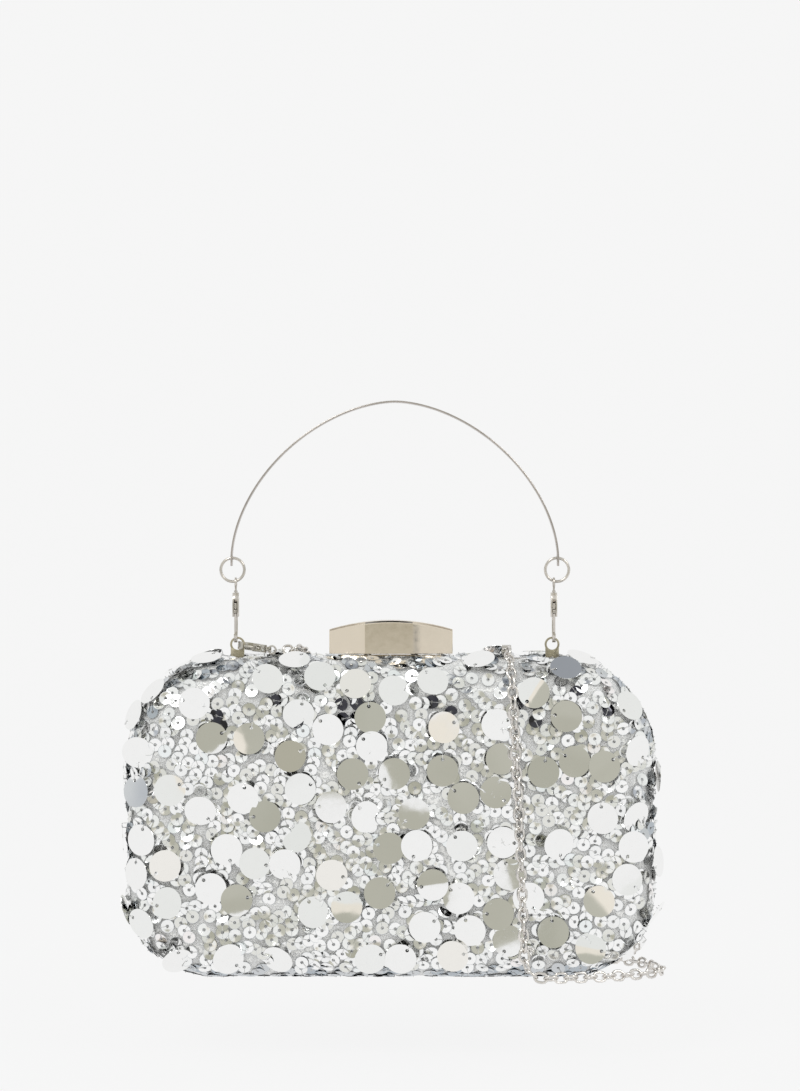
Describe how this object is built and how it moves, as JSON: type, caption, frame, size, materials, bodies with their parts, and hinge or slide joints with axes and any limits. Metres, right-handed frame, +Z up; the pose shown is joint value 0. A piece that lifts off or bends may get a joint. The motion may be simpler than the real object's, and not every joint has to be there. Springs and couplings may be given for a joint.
{
  "type": "evening bag",
  "caption": "Hard-cased evening bag covered in silver sequins, hinged along the bottom, with a faceted press clasp, an arched metal handle on swivel clips and a chain strap.",
  "frame": {"origin": "on the floor under the middle of the case, in the plane where the two halves meet", "axes": "+Z up, +X to the right seen from the front, -Y towards the front face"},
  "size_m": [0.181, 0.0914, 0.1943],
  "materials": {
    "silver_metal": "polished nickel plate",
    "champagne_metal": "polished pale gold plate",
    "plain_steel": "plain plated steel",
    "sequin_fabric": "silver mesh set with reflective sequins",
    "moulded_shell": "moulded, matte",
    "satin_lining": "satin weave",
    "tie_thread": "soft wrapped tie"
  },
  "bodies": {
    "back_half": {"back_frame": "silver_metal", "back_cover": "sequin_fabric", "back_shell": "moulded_shell", "back_lining": "satin_lining", "back_leaf_left": "plain_steel", "back_leaf_right": "plain_steel", "hinge_pin_left": "plain_steel", "hinge_pin_right": "plain_steel", "clasp_base": "champagne_metal", "clasp_spring": "plain_steel", "clasp_housing": "plain_steel", "housing_rivet_left": "plain_steel", "housing_rivet_right": "plain_steel", "tab_left": "silver_metal", "tab_right": "silver_metal", "strap_clip_left": "silver_metal", "strap_ring_left": "silver_metal", "chain_back": "silver_metal", "chain_tail": "silver_metal", "chain_hank": "silver_metal", "hank_tie": "tie_thread"},
    "front_half": {"front_frame": "silver_metal", "front_cover": "sequin_fabric", "front_shell": "moulded_shell", "front_lining": "satin_lining", "front_leaf_left": "plain_steel", "front_leaf_right": "plain_steel", "strike_plate": "plain_steel", "strike_rivet_left": "plain_steel", "strike_rivet_right": "plain_steel", "strap_clip_rim": "silver_metal", "strap_ring_rim": "silver_metal", "chain_front": "silver_metal"},
    "clasp": {"clasp_knob": "champagne_metal", "clasp_stem": "plain_steel"},
    "clip_left": {"clip_body_left": "silver_metal", "clip_pin_left": "plain_steel", "swivel_eye_left": "silver_metal"},
    "clip_right": {"clip_body_right": "silver_metal", "clip_pin_right": "plain_steel", "swivel_eye_right": "silver_metal"},
    "ring_left": {"ring_left": "silver_metal"},
    "ring_right": {"ring_right": "silver_metal"},
    "handle": {"handle_band": "silver_metal"},
    "lever_left": {"clip_lever_left": "silver_metal"},
    "lever_right": {"clip_lever_right": "silver_metal"},
    "strap_lever_left": {"strap_lever_left": "silver_metal"},
    "strap_lever_rim": {"strap_lever_rim": "silver_metal"}
  },
  "joints": [
    {"name": "lid_open", "type": "hinge", "parent": "back_half", "child": "front_half", "pos_m": [0, 0, 0.0013], "axis": [1, 0, 0], "range_deg": [0, 75]},
    {"name": "clasp_press", "type": "slide", "parent": "back_half", "child": "clasp", "axis": [0, 0, 1], "range_m": [-0.001, 0], "stiffness_N_per_m": 600, "springref_m": 0.002, "deforming": ["clasp_spring"]},
    {"name": "clip_swing_left", "type": "hinge", "parent": "back_half", "child": "clip_left", "pos_m": [-0.0528, 0.00085, 0.1136], "axis": [-1, 0, 0], "range_deg": [-70, 70]},
    {"name": "clip_swing_right", "type": "hinge", "parent": "back_half", "child": "clip_right", "pos_m": [0.0554, 0.00085, 0.1136], "axis": [-1, 0, 0], "range_deg": [-70, 70]},
    {"name": "ring_swing_left", "type": "hinge", "parent": "clip_left", "child": "ring_left", "pos_m": [-0.0539, 0.00085, 0.13275], "axis": [-1, 0, 0], "range_deg": [-45, 45]},
    {"name": "ring_swing_right", "type": "hinge", "parent": "clip_right", "child": "ring_right", "pos_m": [0.0565, 0.00085, 0.13275], "axis": [-1, 0, 0], "range_deg": [-45, 45]},
    {"name": "handle_swing", "type": "hinge", "parent": "ring_left", "child": "handle", "pos_m": [-0.0542, 0.00085, 0.14075], "axis": [-1, 0, 0], "range_deg": [-45, 45]},
    {"name": "lever_press_left", "type": "hinge", "parent": "clip_left", "child": "lever_left", "pos_m": [-0.0528, -0.00015, 0.1244], "axis": [1, 0, 0], "range_deg": [0, 12], "stiffness_Nm_per_rad": 0.002, "springref_deg": -17.19},
    {"name": "lever_press_right", "type": "hinge", "parent": "clip_right", "child": "lever_right", "pos_m": [0.0554, -0.00015, 0.1244], "axis": [1, 0, 0], "range_deg": [0, 12], "stiffness_Nm_per_rad": 0.002, "springref_deg": -17.19},
    {"name": "strap_lever_press_left", "type": "hinge", "parent": "back_half", "child": "strap_lever_left", "pos_m": [-0.04497, -0.00075, 0.11018], "axis": [-0.1392, 0, -0.9903], "range_deg": [0, 8], "stiffness_Nm_per_rad": 0.001, "springref_deg": -17.19},
    {"name": "strap_lever_press_rim", "type": "hinge", "parent": "front_half", "child": "strap_lever_rim", "pos_m": [0.039, -0.0075, 0.1087], "axis": [1, 0, 0], "range_deg": [0, 8], "stiffness_Nm_per_rad": 0.001, "springref_deg": -17.19}
  ],
  "couplings": [
    {"joint": "clip_swing_right", "follows": "clip_swing_left", "ratio": 1},
    {"joint": "ring_swing_right", "follows": "ring_swing_left", "ratio": 1}
  ]
}
